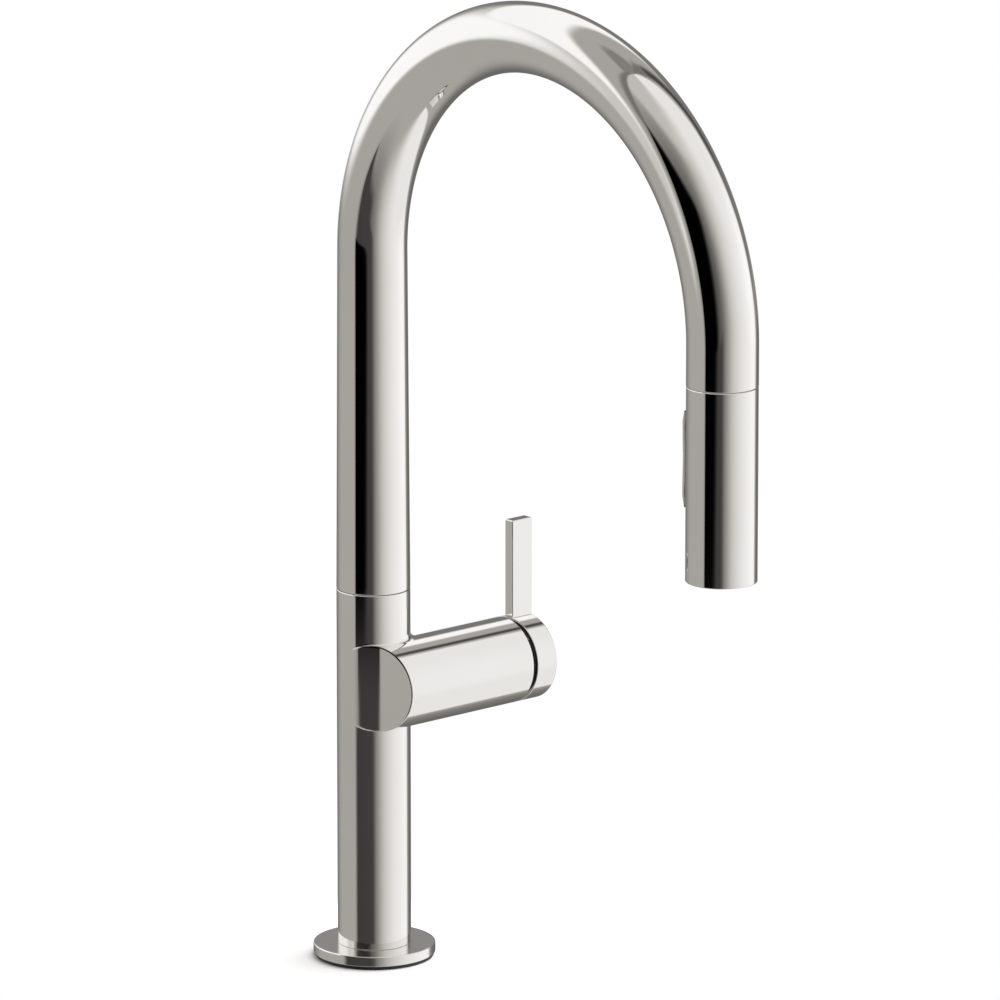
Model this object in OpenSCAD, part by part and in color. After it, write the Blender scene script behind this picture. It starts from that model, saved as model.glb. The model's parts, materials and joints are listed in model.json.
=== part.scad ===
// Pull-down kitchen faucet: gooseneck spout, pull-down spray head and side lever.
// Origin: centre of the deck hole, on the deck surface. +Z up, spout towards -Y, valve barrel along +X.

/* [Base] */
// Radius of the base flange
flange_r = 26.6; // [24:0.1:30]
// Height of the flange's top above the deck
flange_top = 6; // [5:0.1:8]
// Thickness of the deck gasket
gasket_h = 1.6; // [1:0.1:2]

/* [Column] */
// Outer radius of the column
column_r = 16; // [15.8:0.1:16.4]
// Height of the seam between column and spout
seam_z = 165; // [160:0.5:175]

/* [Valve barrel and lever] */
// Height of the barrel's axis
barrel_z = 124; // [122:0.1:126]
// Place of the barrel's axis in front of the column's axis
barrel_y = -13.6; // [-14:0.1:-13.5]
// Outer radius of the barrel and of the lever cap
barrel_r = 19; // [18.8:0.1:20]
// Distance from the column's axis to the barrel's open end
barrel_end = 64.4; // [64:0.1:80]
// Gap between barrel and lever cap
cap_gap = 2.2; // [2:0.1:3]
// Thickness of the lever cap, and width of the blade
cap_w = 11.3; // [10.5:0.1:13]
// Thickness of the lever blade
blade_t = 5; // [4:0.1:6]
// Height of the blade's top above the deck
blade_top = 186.3; // [176:0.1:200]

/* [Spout] */
// Height where the leg ends and the back arc starts
leg_top = 314.7; // [300:0.1:330]
// Centreline radius of the back arc
back_arc_r = 106.3; // [95:0.1:115]
// Centreline radius of the front arc
front_arc_r = 112.65; // [100:0.05:120]
// Outer radius of the gooseneck
neck_r = 15.1; // [14.9:0.05:15.6]
// Wall of the gooseneck
neck_wall = 1.5; // [1.2:0.1:1.6]

/* [Spray head] */
// Outer radius of the spray head
head_r = 15.05; // [15:0.05:15.5]
// Length of the spray head
head_len = 82.85; // [80:0.05:95]
// Gap between spout and head
dock_gap = 0.3; // [0.2:0.05:0.5]
// Radius of the spray hose
hose_r = 4.4; // [4.2:0.1:4.5]
// How far the selector stands out of the head
toggle_proud = 2; // [1.5:0.1:3]

/* [Under the deck] */
// Radius of the threaded shank
shank_r = 14; // [13.9:0.05:14.1]
// Length of shank below the deck
shank_len = 72; // [65:1:90]
// Deck thickness that the clamping parts are set for
deck_t = 30; // [20:1:34]

/* [Hidden] */
$fn = 64;

// Overshoot of every cutter past the face that it cuts
cut = 1;
// Radial clearance of a running fit, and of pieces that are assembled loosely
run = 0.05;
loose = 0.1;

// Column and shank
column_bore_r = 13.5;
shank_bore_r = 12.3;
spigot_top = 24;
relief_h = 1;
relief_r = 13.4;
washer_h = 0.3;
column_top = seam_z - washer_h;

// Near end of the barrel: a flat that leaves the column's side and slopes to the front
flat_turn = 17.4;
flat_offset = column_r - 0.1;
block_start_x = -15;
edge = 0.4;

// Cartridge stations along the barrel
chamber_x = 2;
chamber_r = 16.4;
manifold_face = barrel_end - 43.3;
base_face = manifold_face + 5;
disc_face = base_face + 3.5;
disc_back = disc_face + 3.5;
carrier_face = disc_face + 5.5;
carrier_step = carrier_face + 2.5;
body_shoulder = manifold_face + 26;
body_nose = body_shoulder + 8;
body_r = 14;
nose_r = 11;
carrier_r = 9;
pivot_x = body_shoulder - 0.5;
collar_x = body_nose + 4;
cap_x = barrel_end + cap_gap;
cap_end = cap_x + cap_w;
cap_hollow_r = 16.9;
cap_hollow = 4.5;
foot_gap = 0.03;
stem_r = 3;
pin_r = 1.25;
ball_x = disc_face + 3;
ball_r = 1.9;

// Waterway ports in the manifold: [y, z] from the barrel's axis, and the sockets' angles on the column's axis
socket_r = 3.5;
socket_ring = 8.7;
manifold_floor = 110.8;
manifold_roof = 133.4;
hose_way_r = 4.8;
port_r = 1.6;
cross_r = 1.8;
riser_r = 2;
socket_top = 119.8;
PORTS = [[4.9, -6.2], [6.5, 0], [5.2, 6.2]];
SOCKET_ANGLES = [270, 30, 150];

// Swivel joint
spigot_r = 12.6;
bush_r = 14.25;
GLIDE_Z = [167, 179];
ORING_Z = [184, 189];
set_screw_z = 174;
set_screw_r = 2;
spigot_low = 150;
spigot_high = 195;

// Spout and dock
reach = back_arc_r + front_arc_r;
front_arc_z = leg_top + back_arc_r - front_arc_r;
head_bottom = 208.6;
head_top = head_bottom + head_len;
spout_end = head_top + dock_gap;
dock_r = 10.9;
collar_top = 303;
diverter_top = 281;
diverter_foot = 228;
head_wall = 1.55;
head_bore_r = head_r - head_wall;
tail_top = 308;
tail_bottom = 299;
hose_bore_r = 2.8;
hose_end = -90;

// Selector on the back of the head
toggle_z = 259;
toggle_pivot_y = 9.9;
toggle_half = 20.8;
toggle_w = 14;
toggle_flat = 7.6;
spool_z = 249;
spool_r = 3;
SPOOL_GROOVES = [0.8, 4.4];

// Clamping parts
pad_h = 3;
plate_h = 2.5;
nut_gap = 3.5;
screw_ring = 18.6;

module ring(r_out, r_in, z0, z1) {
    translate([0, 0, z0])
        difference() {
            cylinder(h = z1 - z0, r = r_out);
            translate([0, 0, -cut]) cylinder(h = z1 - z0 + 2 * cut, r = r_in);
        }
}

module rod(r, z0, z1) {
    translate([0, 0, z0]) cylinder(h = z1 - z0, r = r);
}

// Turns a shape built along +Z so that it lies along the barrel
module on_barrel() {
    translate([0, barrel_y, barrel_z]) rotate([0, 90, 0]) children();
}

// Turns a shape built along +Z so that it lies across the barrel, on the lever's pivot
module on_pivot() {
    translate([pivot_x, barrel_y, barrel_z]) rotate([-90, 0, 0]) children();
}

// Turns a shape built along +Z so that it lies along +Y
module along_y(x, z) {
    translate([x, 0, z]) rotate([-90, 0, 0]) children();
}

module at_head() {
    translate([0, -reach, 0]) children();
}

module o_ring(ring_r, section_r, z) {
    translate([0, 0, z]) rotate_extrude() translate([ring_r, 0]) circle(r = section_r);
}

// Cylinder with a bevelled edge at each end
module bevelled(r, z0, z1) {
    translate([0, 0, z0]) cylinder(h = edge, r1 = r - edge, r2 = r);
    translate([0, 0, z0 + edge]) cylinder(h = z1 - z0 - 2 * edge, r = r);
    translate([0, 0, z1 - edge]) cylinder(h = edge, r1 = r, r2 = r - edge);
}

// ---- Fixed body ----

module deck_gasket() {
    color("#1d1d1f") ring(flange_r - 0.8, shank_r + 0.2, 0, gasket_h);
}

module base_flange() {
    color("silver")
        difference() {
            bevelled(flange_r, gasket_h, flange_top);
            rod(relief_r + 0.2, gasket_h - cut, flange_top + cut);
        }
}

module threaded_shank() {
    color("#b08d4a")
        difference() {
            union() {
                rod(relief_r, 0, spigot_top);
                rod(shank_r, -deck_t, 0);
                rod(relief_r, -deck_t - relief_h, -deck_t);
                rod(shank_r, 1 - shank_len, -deck_t - relief_h);
                translate([0, 0, -shank_len]) cylinder(h = 1, r1 = shank_r - 1, r2 = shank_r);
            }
            rod(shank_bore_r, -shank_len - cut, spigot_top + cut);
        }
}

module barrel_block() {
    reach_z = 2 * barrel_r;
    difference() {
        on_barrel() rod(barrel_r, block_start_x, barrel_end - edge);
        rotate([0, 0, flat_turn])
            translate([-flat_offset - 4 * column_r, -4 * column_r, barrel_z - reach_z])
                cube([4 * column_r, 6 * column_r, 2 * reach_z]);
    }
    on_barrel()
        translate([0, 0, barrel_end - edge]) cylinder(h = edge, r1 = barrel_r, r2 = barrel_r - edge);
}

module body_column() {
    color("silver")
        difference() {
            union() {
                rod(column_r, flange_top, column_top);
                barrel_block();
            }
            rod(column_bore_r, flange_top - cut, column_top + cut);
            on_barrel() rod(chamber_r, chamber_x, barrel_end + cut);
        }
}

module valve_manifold() {
    color("#b08d4a")
        difference() {
            union() {
                rod(column_bore_r - loose, manifold_floor, manifold_roof);
                on_barrel() rod(chamber_r - loose, chamber_x + loose, manifold_face);
            }
            translate([-column_r, -column_r, manifold_floor - column_r])
                cube([column_r + column_bore_r, 2 * column_r, column_r]);
            rod(hose_way_r, manifold_floor - column_r, manifold_roof + column_r);
            for (i = [0:2])
                manifold_passage(SOCKET_ANGLES[i], PORTS[i]);
        }
}

// A hose socket, a riser over it, a cross drilling and a drilling along the barrel to the seat
module manifold_passage(angle, port) {
    x = socket_ring * cos(angle);
    y = socket_ring * sin(angle);
    port_y = barrel_y + port[0];
    port_z = barrel_z + port[1];
    translate([x, y, 0]) rod(socket_r, manifold_floor - cut, socket_top);
    if (port_z > socket_top) {
        translate([x, y, 0]) rod(riser_r, socket_top - cut, port_z + riser_r);
        translate([x, port_y - cross_r, port_z])
            rotate([-90, 0, 0]) cylinder(h = y - port_y + cross_r, r = cross_r);
    }
    translate([x, port_y, port_z])
        rotate([0, 90, 0]) cylinder(h = manifold_face - x + cut, r = port_r);
}

// Round holes through a cartridge piece, one for each port
module port_holes(r, x0, x1) {
    for (p = PORTS)
        translate([x0, barrel_y + p[0], barrel_z + p[1]]) rotate([0, 90, 0]) cylinder(h = x1 - x0, r = r);
}

module cartridge_base() {
    color("#e8e6df")
        difference() {
            on_barrel() rod(body_r, manifold_face, base_face);
            port_holes(port_r, manifold_face - cut, base_face + cut);
            port_holes(port_r + 1.1, manifold_face - cut, manifold_face + 1);
        }
}

module cartridge_seals() {
    color("#1d1d1f")
        difference() {
            port_holes(port_r + 1.05, manifold_face, manifold_face + 0.98);
            port_holes(port_r, manifold_face - cut, manifold_face + 2);
        }
}

module fixed_disc() {
    color("#f4f1ea")
        difference() {
            on_barrel() rod(11.8, base_face, disc_face);
            port_holes(port_r, base_face - cut, disc_face + cut);
        }
}

module cartridge_body() {
    color("#e8e6df")
        on_barrel()
            difference() {
                union() {
                    rod(body_r, base_face, body_shoulder);
                    rod(nose_r, body_shoulder, body_nose);
                }
                rod(12.2, base_face - cut, body_shoulder - 6);
                rod(carrier_r + run, carrier_face, body_nose + cut);
            }
}

module bonnet_nut() {
    color("#b08d4a")
        on_barrel()
            difference() {
                rod(chamber_r - loose, body_shoulder, body_nose - 1);
                rod(nose_r + loose, body_shoulder - cut, body_nose + cut);
                for (a = [0:60:300])
                    rotate([0, 0, a]) translate([12.5, -1.5, body_nose - 4]) cube([6, 3, 6]);
            }
}

module gap_collar() {
    color("#141414")
        on_barrel()
            difference() {
                union() {
                    rod(chamber_r - loose, collar_x, barrel_end - edge);
                    rod(15.5, barrel_end - edge, cap_x - 0.5);
                }
                rod(9, collar_x - cut, cap_x);
                rod(14, collar_x + 3, cap_x);
            }
}

module swivel_spigot() {
    color("#b08d4a")
        difference() {
            union() {
                rod(column_bore_r - loose, spigot_low, column_top);
                rod(spigot_r, column_top, spigot_high);
            }
            rod(8, spigot_low - cut, spigot_high + cut);
            for (z = GLIDE_Z) ring(14, 11.4, z, z + 2);
            for (z = ORING_Z) ring(14, 11, z, z + 2.4);
            ring(14, 11.6, set_screw_z - set_screw_r - 0.3, set_screw_z + set_screw_r + 0.3);
        }
}

module swivel_o_rings() {
    color("#1d1d1f") for (z = ORING_Z) o_ring(11.83, 0.79, z + 1.2);
}

module swivel_glide_rings() {
    color("#f4f1ea") for (z = GLIDE_Z) ring(spigot_r + 0.02, 11.45, z + run, z + 2 - run);
}

module seam_washer() {
    color("#1d1d1f") ring(column_r - 0.3, spigot_r + loose, column_top, seam_z);
}

// ---- Clamping parts under the deck ----

module mounting_washer() {
    color("#1d1d1f") ring(24, shank_r + 0.3, -deck_t - pad_h, -deck_t);
}

module mounting_plate() {
    color("#9aa0a4") ring(25, shank_r + 0.3, -deck_t - pad_h - plate_h, -deck_t - pad_h);
}

module screw_pattern() {
    for (a = [30:120:270]) rotate([0, 0, a]) translate([screw_ring, 0, 0]) children();
}

module mounting_nut() {
    top = -deck_t - pad_h - plate_h - nut_gap;
    color("#b08d4a")
        difference() {
            union() {
                rod(22.5, top - 6, top);
                translate([0, 0, top - 12]) cylinder(h = 6, r = 17.8, $fn = 6);
            }
            rod(shank_r + run, top - 12 - cut, top + cut);
            screw_pattern() rod(2.5 + run, top - 6 - cut, top + cut);
        }
}

module thrust_screws() {
    top = -deck_t - pad_h - plate_h;
    color("#9aa0a4")
        screw_pattern() {
            rod(2.5, top - 18, top);
            translate([0, 0, top - 21.5]) cylinder(h = 3.5, r = 4.2, $fn = 6);
        }
}

// ---- Spout ----

module sweep_arc(arc_r, z, turn) {
    translate([0, -back_arc_r, z])
        rotate([90, 0, 90])
            rotate([0, 0, turn])
                rotate_extrude(angle = 90) translate([arc_r, 0]) children();
}

module annulus(r_out, r_in) {
    difference() {
        circle(r = r_out);
        circle(r = r_in);
    }
}

module spout_tube() {
    in_r = neck_r - neck_wall;
    leg_h = leg_top - seam_z - run;
    color("silver")
        difference() {
            union() {
                translate([0, 0, seam_z + run])
                    difference() {
                        cylinder(h = leg_h, r1 = column_r, r2 = neck_r);
                        translate([0, 0, -cut]) cylinder(h = cut, r = column_r - neck_wall);
                        cylinder(h = leg_h, r1 = column_r - neck_wall, r2 = in_r);
                    }
                sweep_arc(back_arc_r, leg_top, 0) annulus(neck_r, in_r);
                sweep_arc(front_arc_r, front_arc_z, 90) annulus(neck_r, in_r);
                at_head() ring(neck_r, in_r, spout_end, front_arc_z);
            }
            along_y(0, set_screw_z) rod(set_screw_r + run, 10, column_r + cut);
        }
}

module spout_bush() {
    color("#b08d4a")
        difference() {
            ring(bush_r, spigot_r + run, seam_z + 0.4, spigot_high - 2);
            along_y(0, set_screw_z) rod(set_screw_r + run, 10, column_r + cut);
        }
}

module spout_set_screw() {
    color("#9aa0a4") along_y(0, set_screw_z) rod(set_screw_r, 12, 15.5);
}

module dock_collar() {
    color("#2a2a2c") at_head() ring(neck_r - neck_wall - loose, dock_r, spout_end + 0.3, collar_top);
}

module dock_magnet() {
    color("#55585c") at_head() ring(13.3, dock_r + loose, collar_top + loose, collar_top + 4.5);
}

module spray_hose() {
    color("#8d9093") {
        ring(hose_r, hose_bore_r, hose_end, leg_top);
        sweep_arc(back_arc_r, leg_top, 0) annulus(hose_r, hose_bore_r);
        sweep_arc(front_arc_r, front_arc_z, 90) annulus(hose_r, hose_bore_r);
    }
}

module hose_connector() {
    color("#b08d4a")
        difference() {
            union() {
                rod(4.6, hose_end - 4, hose_end);
                rod(3.9, hose_end - 6, hose_end - 4);
                rod(4.6, hose_end - 18, hose_end - 6);
            }
            rod(2.5, hose_end - 18 - cut, hose_end + cut);
        }
}

// ---- Spray head ----

module head_shell() {
    color("silver")
        at_head()
            difference() {
                ring(head_r, head_bore_r, head_bottom, head_top);
                translate([-toggle_w / 2 - 0.3, 5, toggle_z - toggle_half - 0.8])
                    cube([toggle_w + 0.6, 15, 2 * toggle_half + 1.6]);
            }
}

module head_neck() {
    color("#2a2a2c")
        at_head()
            difference() {
                union() {
                    rod(dock_r - 0.2, head_top, collar_top);
                    rod(head_bore_r - 0.2, 284, head_top);
                    rod(10, 281.2, 284);
                }
                rod(6.6, 291, collar_top + cut);
                rod(5.3, 281.2 - cut, 291 + cut);
                ring(12, 9.1, 296.5, 298.5);
            }
}

module neck_o_ring() {
    color("#1d1d1f") at_head() o_ring(9.98, 0.85, 297.5);
}

module magnet_keeper() {
    color("#9aa0a4") at_head() ring(10.6, 6.8, collar_top + run, collar_top + 1.6);
}

module hose_tail() {
    color("#8d9093") at_head() ring(hose_r, hose_bore_r, tail_bottom, tail_top);
}

module hose_nut() {
    color("#b08d4a")
        at_head()
            difference() {
                union() {
                    translate([0, 0, 293]) cylinder(h = 8.5, r = 6.4, $fn = 6);
                    rod(5, 290.6, 293);
                }
                rod(hose_r + run, tail_bottom, 302);
                rod(hose_bore_r, 290, 300);
            }
}

module inlet_screen() {
    color("#c9cbce")
        at_head()
            difference() {
                rod(5.2, 289.6, 290.4);
                for (a = [0:60:300]) rotate([0, 0, a]) translate([3, 0, 0]) rod(0.9, 289, 291);
                rod(0.9, 289, 291);
            }
}

module check_valve() {
    color("#3d6fa5") at_head() ring(5.2, 2, 281.5, 289.4);
}

module diverter_body() {
    color("#2a2a2c")
        at_head()
            difference() {
                union() {
                    difference() {
                        rod(11.5, diverter_foot - 2, diverter_top);
                        translate([-15, toggle_flat, 230]) cube([30, 10, 52]);
                    }
                    rod(13.3, 219.4, diverter_foot);
                    for (s = [-1, 1])
                        translate([s * 6.45 - 0.95, toggle_flat - cut, toggle_z - 3])
                            cube([1.9, 11.1 - toggle_flat + cut, 6]);
                }
                translate([0, toggle_pivot_y, toggle_z]) rotate([0, 90, 0])
                    cylinder(h = 20, r = 1.02, center = true);
                rod(2.5, 246, diverter_top + cut);
                rod(2, 219, 246 + cut);
                translate([0, -8, 0]) rod(1.5, 219, 249);
                along_y(0, spool_z) rod(spool_r + run, -9, toggle_flat + cut);
            }
}

module face_ring() {
    color("#2a2a2c") at_head() ring(head_bore_r - loose, 11.6, 209, 216);
}

module nozzle_pattern() {
    for (a = [0:22.5:337.5]) rotate([0, 0, a]) translate([9, 0, 0]) children();
}

module spray_face() {
    color("#3a3a3c")
        at_head()
            difference() {
                ring(11.5, 6.7, 210.2, 212.6);
                nozzle_pattern() rod(1, 209, 214);
            }
}

module spray_nozzles() {
    color("#6b6f73") at_head() nozzle_pattern() ring(0.95, 0.4, 209.3, 213.4);
}

module aerator_insert() {
    color("#e8e6df")
        at_head()
            difference() {
                rod(6.6, 209.6, 219);
                for (r = [0, 2.2, 4.4])
                    for (a = [0:(r > 3 ? 30 : 60):359])
                        rotate([0, 0, a]) translate([r, 0, 0]) rod(0.8, 208, 220);
            }
}

module toggle_pin() {
    color("#9aa0a4")
        at_head()
            translate([0, toggle_pivot_y, toggle_z])
                rotate([0, 90, 0]) cylinder(h = 14.8, r = 1, center = true);
}

// Selector: a plate with sloping ends, a pivot barrel and a foot that meets the spool
module toggle_rocker() {
    face = head_r + toggle_proud;
    back = head_r - 0.6;
    slope = 5;
    color("silver")
        at_head()
            difference() {
                union() {
                    translate([-toggle_w / 2, 0, toggle_z])
                        rotate([90, 0, 90])
                            linear_extrude(toggle_w)
                                polygon([
                                    [back, -toggle_half], [face - 1.2, -toggle_half],
                                    [face, -toggle_half + slope], [face, toggle_half - slope],
                                    [face - 1.2, toggle_half], [back, toggle_half]
                                ]);
                    translate([-5.2, toggle_pivot_y, toggle_z])
                        rotate([0, 90, 0]) cylinder(h = 10.4, r = 2);
                    translate([-5.2, toggle_pivot_y, toggle_z - 1.2])
                        cube([10.4, back - toggle_pivot_y + 0.5, 2.4]);
                    translate([-2.5, toggle_pivot_y, spool_z - 2.2])
                        cube([5, back - toggle_pivot_y + 0.5, 4.4]);
                }
                translate([0, toggle_pivot_y, toggle_z]) rotate([0, 90, 0])
                    cylinder(h = 20, r = 1 + run, center = true);
            }
}

module diverter_spool() {
    color("#e8e6df")
        at_head()
            along_y(0, spool_z)
                difference() {
                    rod(spool_r, -2, toggle_pivot_y - 0.3);
                    for (y = SPOOL_GROOVES) ring(5, 2, y, y + 1.3);
                }
}

module spool_seals() {
    color("#1d1d1f") at_head() along_y(0, spool_z) for (y = SPOOL_GROOVES) o_ring(2.52, 0.5, y + 0.65);
}

// ---- Cartridge movement and lever ----

module stem_carrier() {
    color("#d9d6cd")
        difference() {
            on_barrel() {
                rod(12, carrier_face, carrier_step);
                rod(carrier_r, carrier_step, body_nose + 1);
            }
            translate([carrier_face - cut, barrel_y - 3.3, barrel_z - 6.5])
                cube([body_nose - carrier_face + 3 * cut, 6.6, 13]);
            on_pivot() rod(pin_r + 0.02, -12, 12);
        }
}

module stem_pin() {
    color("#9aa0a4") on_pivot() rod(pin_r, -8.4, 8.4);
}

module moving_disc() {
    color("#f4f1ea")
        on_barrel()
            difference() {
                union() {
                    rod(8, disc_face + run, disc_back);
                    rod(4, disc_back, disc_back + 1.2);
                }
                rod(ball_r + 0.15, disc_face + 0.9, disc_back + 2);
            }
}

module cartridge_stem() {
    color("#9aa0a4")
        difference() {
            on_barrel() {
                translate([0, 0, ball_x]) sphere(r = ball_r);
                rod(1.4, ball_x, disc_back + 4);
                rod(stem_r, disc_back + 4, cap_end - 1.8);
            }
            on_pivot() rod(pin_r + run, -5, 5);
        }
}

module handle_cap() {
    plate_x = cap_x + cap_hollow;
    color("silver")
        difference() {
            union() {
                difference() {
                    on_barrel() bevelled(barrel_r, cap_x, cap_end);
                    on_barrel() rod(cap_hollow_r, cap_x - cut, plate_x);
                }
                on_barrel() rod(6, cap_x + 1.5, plate_x);
            }
            on_barrel() rod(stem_r + run, cap_x, cap_end - 1.7);
            translate([plate_x + 3.4, barrel_y, barrel_z]) rod(1.6, 12, barrel_r + cut);
            translate([plate_x + 3, barrel_y, barrel_z]) rod(2.05, -barrel_r - cut, -stem_r);
        }
}

module lever_blade() {
    color("silver")
        union() {
            difference() {
                translate([cap_x, barrel_y - blade_t / 2, barrel_z + barrel_r - 2])
                    cube([cap_w, blade_t, blade_top - barrel_z - barrel_r + 2]);
                on_barrel() rod(barrel_r + foot_gap, cap_x - cut, cap_end + cut);
            }
            translate([cap_x + cap_hollow + 3.4, barrel_y, barrel_z]) rod(1.55, 12.2, barrel_r + cut);
        }
}

module lever_set_screw() {
    color("#9aa0a4") translate([cap_x + cap_hollow + 3, barrel_y, barrel_z]) rod(2, -9.1, -stem_r - run);
}

module screw_plug() {
    color("silver") translate([cap_x + cap_hollow + 3, barrel_y, barrel_z]) rod(2, 0.1 - barrel_r, 3.1 - barrel_r);
}

deck_gasket();
base_flange();
threaded_shank();
body_column();
valve_manifold();
cartridge_base();
cartridge_seals();
fixed_disc();
cartridge_body();
bonnet_nut();
gap_collar();
swivel_spigot();
swivel_o_rings();
swivel_glide_rings();
seam_washer();
mounting_washer();
mounting_plate();
mounting_nut();
thrust_screws();
spout_tube();
spout_bush();
spout_set_screw();
dock_collar();
dock_magnet();
spray_hose();
hose_connector();
head_shell();
head_neck();
neck_o_ring();
magnet_keeper();
hose_tail();
hose_nut();
inlet_screen();
check_valve();
diverter_body();
face_ring();
spray_face();
spray_nozzles();
aerator_insert();
toggle_pin();
toggle_rocker();
diverter_spool();
spool_seals();
stem_carrier();
stem_pin();
moving_disc();
cartridge_stem();
handle_cap();
lever_blade();
lever_set_screw();
screw_plug();
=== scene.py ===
"""Looks of the pull-down kitchen faucet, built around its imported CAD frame."""
import json
import math

import bpy
import numpy as np
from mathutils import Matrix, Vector

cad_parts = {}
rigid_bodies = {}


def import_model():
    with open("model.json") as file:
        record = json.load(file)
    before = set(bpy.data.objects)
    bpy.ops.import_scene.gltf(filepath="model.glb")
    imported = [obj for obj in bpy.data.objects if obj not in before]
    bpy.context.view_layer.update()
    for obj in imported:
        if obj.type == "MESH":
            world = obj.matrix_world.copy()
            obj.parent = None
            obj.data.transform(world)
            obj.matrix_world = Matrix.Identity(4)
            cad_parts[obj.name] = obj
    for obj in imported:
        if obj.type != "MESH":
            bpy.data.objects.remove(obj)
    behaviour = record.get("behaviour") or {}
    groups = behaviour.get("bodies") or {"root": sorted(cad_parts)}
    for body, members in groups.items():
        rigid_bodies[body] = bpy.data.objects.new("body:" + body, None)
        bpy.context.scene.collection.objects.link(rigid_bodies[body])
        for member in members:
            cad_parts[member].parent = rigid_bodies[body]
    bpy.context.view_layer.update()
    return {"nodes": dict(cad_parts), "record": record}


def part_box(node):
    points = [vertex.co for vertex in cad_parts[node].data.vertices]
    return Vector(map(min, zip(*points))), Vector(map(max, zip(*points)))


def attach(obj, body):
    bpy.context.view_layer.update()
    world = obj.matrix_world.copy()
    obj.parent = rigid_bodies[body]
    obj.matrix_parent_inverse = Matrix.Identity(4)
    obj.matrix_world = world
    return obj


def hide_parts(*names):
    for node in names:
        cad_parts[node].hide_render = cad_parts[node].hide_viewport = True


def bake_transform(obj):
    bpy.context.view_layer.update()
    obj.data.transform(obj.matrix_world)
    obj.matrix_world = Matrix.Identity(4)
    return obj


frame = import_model()

MM = 0.001
X, Y, Z = np.eye(3)

# ---- Dimensions, read from the frame ----


def box(node):
    low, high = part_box(node)
    return np.array(low), np.array(high)


column_low, column_high = box("body_column")
cap_low, cap_high = box("handle_cap")
spout_low, spout_high = box("spout_tube")
head_low, head_high = box("head_shell")
flange_low, flange_high = box("base_flange")
blade_low, blade_high = box("lever_blade")
toggle_low, toggle_high = box("toggle_rocker")
gasket_low, gasket_high = box("deck_gasket")

column_r = -column_low[0]
column_top = column_high[2]
barrel_r = (cap_high[2] - cap_low[2]) / 2
barrel_y, barrel_z = (cap_high[1] + cap_low[1]) / 2, (cap_high[2] + cap_low[2]) / 2
barrel_end = column_high[0]
reach = -(head_low[1] + head_high[1]) / 2
head_r = (head_high[0] - head_low[0]) / 2
neck_r = -spout_low[1] - reach
dock_gap = 0.3 * MM
dock_z = head_high[2] + dock_gap
back_arc_r = 106.3 * MM
front_arc_r = reach - back_arc_r
leg_top = spout_high[2] - neck_r - back_arc_r
front_arc_z = spout_high[2] - neck_r - front_arc_r
tube_wall = 1.5 * MM
# The barrel's near end is a shallow dish. face_out points out of it, and face_along runs across it, to the
# front.
face_turn = math.radians(16.6)
face_out = np.array([-math.cos(face_turn), -math.sin(face_turn), 0])
face_along = np.array([math.sin(face_turn), -math.cos(face_turn), 0])
dish_start, dish_middle, dish_reach, dish_depth = 2 * MM, 13.5 * MM, 20 * MM, 1.3 * MM

# ---- Meshes ----


def add_piece(name, points, faces, normals, material, body, slot, replaces=()):
    """Makes a smooth mesh piece with its own normals, and lets it ride on a CAD body."""
    points, faces, normals = np.asarray(points, float), np.asarray(faces, int), np.asarray(normals, float)
    first = points[faces[:, :3]]
    facing = np.cross(first[:, 1] - first[:, 0], first[:, 2] - first[:, 0])
    if np.sum(facing * normals[faces[:, 0]]) < 0:
        faces = faces[:, ::-1]
    mesh = bpy.data.meshes.new(name)
    mesh.from_pydata(points.tolist(), [], faces.tolist())
    mesh.polygons.foreach_set("use_smooth", [True] * len(mesh.polygons))
    mesh.normals_split_custom_set_from_vertices(normals.tolist())
    mesh.materials.append(material)
    piece = bpy.data.objects.new(name, mesh)
    bpy.context.scene.collection.objects.link(piece)
    if body:
        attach(piece, body)
        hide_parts(*replaces)
    return piece


def grid_faces(rows, cols, close_rows=True, close_cols=True):
    """Quads of a grid of points that are numbered row by row."""
    r = np.arange(rows if close_rows else rows - 1)[:, None]
    c = np.arange(cols if close_cols else cols - 1)[None, :]
    r2, c2 = (r + 1) % rows, (c + 1) % cols
    return np.stack([r * cols + c, r * cols + c2, r2 * cols + c2, r2 * cols + c], -1).reshape(-1, 4)


def rounded(corners, radii, steps=4, closed=True):
    """A counter-clockwise outline with each corner rounded: its points and its outward normals."""
    corners = np.asarray(corners, float)
    n = len(corners)
    radii = np.broadcast_to(radii, n)
    points, normals = [], []
    for i in range(n):
        here = corners[i]
        if not closed and i in (0, n - 1):
            other = corners[1] - here if i == 0 else here - corners[i - 1]
            d = other / np.linalg.norm(other)
            points.append(here)
            normals.append([d[1], -d[0]])
            continue
        d_in = here - corners[i - 1]
        d_out = corners[(i + 1) % n] - here
        d_in, d_out = d_in / np.linalg.norm(d_in), d_out / np.linalg.norm(d_out)
        turn = math.atan2(d_in[0] * d_out[1] - d_in[1] * d_out[0], d_in @ d_out)
        tangent = radii[i] * math.tan(abs(turn) / 2)
        side = math.copysign(1, turn)
        centre = here - d_in * tangent + side * radii[i] * np.array([-d_in[1], d_in[0]])
        for k in range(steps + 1):
            a = turn * k / steps
            normal = np.array([d_in[1] * math.cos(a) + d_in[0] * math.sin(a),
                               -d_in[0] * math.cos(a) + d_in[1] * math.sin(a)])
            points.append(centre + side * radii[i] * normal)
            normals.append(normal)
    return np.array(points), np.array(normals)


def straight(origin, axis):
    """A straight path: the place and the direction at each distance along it."""
    origin, axis = np.asarray(origin, float), np.asarray(axis, float)
    return lambda s: (origin + s * axis, axis)


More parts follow.
